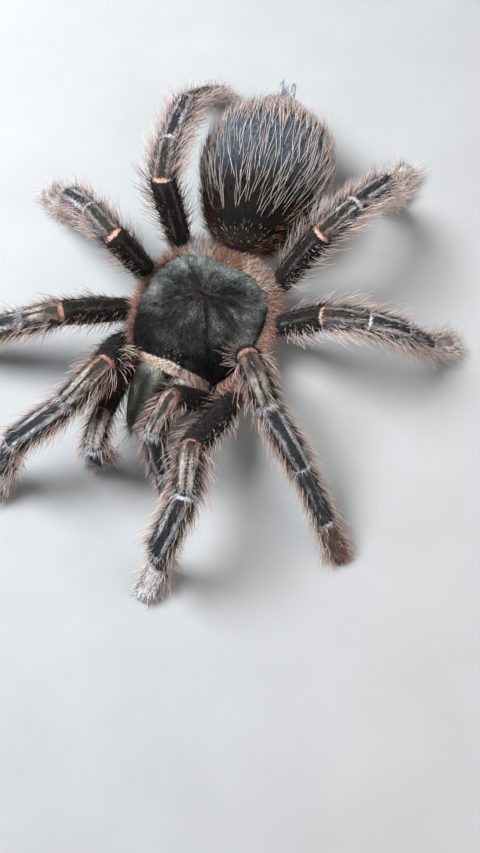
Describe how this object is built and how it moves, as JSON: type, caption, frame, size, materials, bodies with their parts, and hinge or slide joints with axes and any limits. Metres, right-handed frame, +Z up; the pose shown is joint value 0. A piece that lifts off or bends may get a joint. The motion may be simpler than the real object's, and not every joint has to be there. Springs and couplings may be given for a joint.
{
  "type": "tarantula",
  "caption": "Large dark tarantula with pale leg stripes and long pale bristles, standing, its left front leg reaching past its face.",
  "frame": {"origin": "on the floor, under the middle of the animal's box", "axes": "-Y towards the head, +X to the animal's left, +Z up"},
  "size_m": [0.1042, 0.106, 0.0269],
  "materials": {
    "body_coat": "short dark velvety hair with long pale bristles",
    "abdomen_coat": "slate velvety hair under long pale bristles",
    "shell": "dark shield with fine flat greenish hair",
    "eyes": "glossy",
    "fangs": "polished black"
  },
  "bodies": {
    "root": {"eye_front_middle_right": "eyes", "eye_front_middle_left": "eyes", "eye_front_side_right": "eyes", "eye_front_side_left": "eyes", "eye_rear_middle_right": "eyes", "eye_rear_middle_left": "eyes", "eye_rear_side_right": "eyes", "eye_rear_side_left": "eyes", "carapace": "shell", "sternum": "body_coat", "chelicera_right": "shell", "fang_right": "fangs", "chelicera_left": "shell", "fang_left": "fangs", "spinneret_right": "abdomen_coat", "spinneret_left": "abdomen_coat", "pedicel": "body_coat", "abdomen": "abdomen_coat", "leg_1_right_femur": "body_coat", "leg_1_right_patella": "body_coat", "leg_1_right_tibia": "body_coat", "leg_1_right_foot": "body_coat", "leg_1_left_femur": "body_coat", "leg_1_left_patella": "body_coat", "leg_1_left_tibia": "body_coat", "leg_1_left_foot": "body_coat", "leg_2_right_femur": "body_coat", "leg_2_right_patella": "body_coat", "leg_2_right_tibia": "body_coat", "leg_2_right_foot": "body_coat", "leg_2_left_femur": "body_coat", "leg_2_left_patella": "body_coat", "leg_2_left_tibia": "body_coat", "leg_2_left_foot": "body_coat", "leg_3_right_femur": "body_coat", "leg_3_right_patella": "body_coat", "leg_3_right_tibia": "body_coat", "leg_3_right_foot": "body_coat", "leg_3_left_femur": "body_coat", "leg_3_left_patella": "body_coat", "leg_3_left_tibia": "body_coat", "leg_3_left_foot": "body_coat", "leg_4_right_femur": "body_coat", "leg_4_right_patella": "body_coat", "leg_4_right_tibia": "body_coat", "leg_4_right_foot": "body_coat", "leg_4_left_femur": "body_coat", "leg_4_left_patella": "body_coat", "leg_4_left_tibia": "body_coat", "leg_4_left_foot": "body_coat", "palp_right_femur": "body_coat", "palp_right_patella": "body_coat", "palp_right_tibia": "body_coat", "palp_right_tarsus": "body_coat", "palp_left_femur": "body_coat", "palp_left_patella": "body_coat", "palp_left_tibia": "body_coat", "palp_left_tarsus": "body_coat"}
  },
  "joints": []
}
